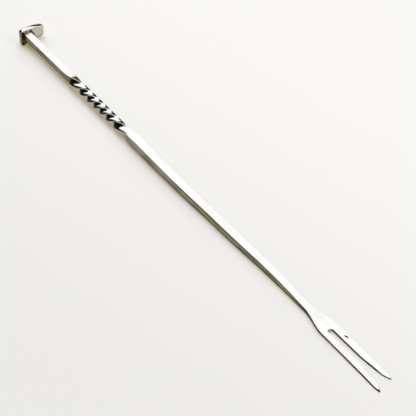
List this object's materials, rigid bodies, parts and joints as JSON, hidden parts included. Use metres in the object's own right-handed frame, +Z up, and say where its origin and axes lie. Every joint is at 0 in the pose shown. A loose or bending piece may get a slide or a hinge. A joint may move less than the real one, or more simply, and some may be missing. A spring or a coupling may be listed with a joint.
{
  "type": "flesh fork",
  "caption": "Hand-forged steel flesh fork with flat pointed tines, a long square stem, a twisted grip and a wedge-shaped head plate, for lifting meat from a pot.",
  "frame": {"origin": "on the table the fork lies on, at the middle of its outline in plan", "axes": "+X from the head plate to the tines, +Y across towards the plate's short side, +Z up from the table"},
  "size_m": [0.5082, 0.0258, 0.016],
  "materials": {
    "plate_steel": "hammered flat and polished, browned with oxide round the bar",
    "bar_steel": "draw-filed and polished bright steel",
    "blade_steel": "planished, ground and polished bright steel"
  },
  "bodies": {
    "root": {"head_plate": "plate_steel", "handle_bar": "bar_steel", "stem": "bar_steel", "tine_blade": "blade_steel"}
  },
  "joints": []
}
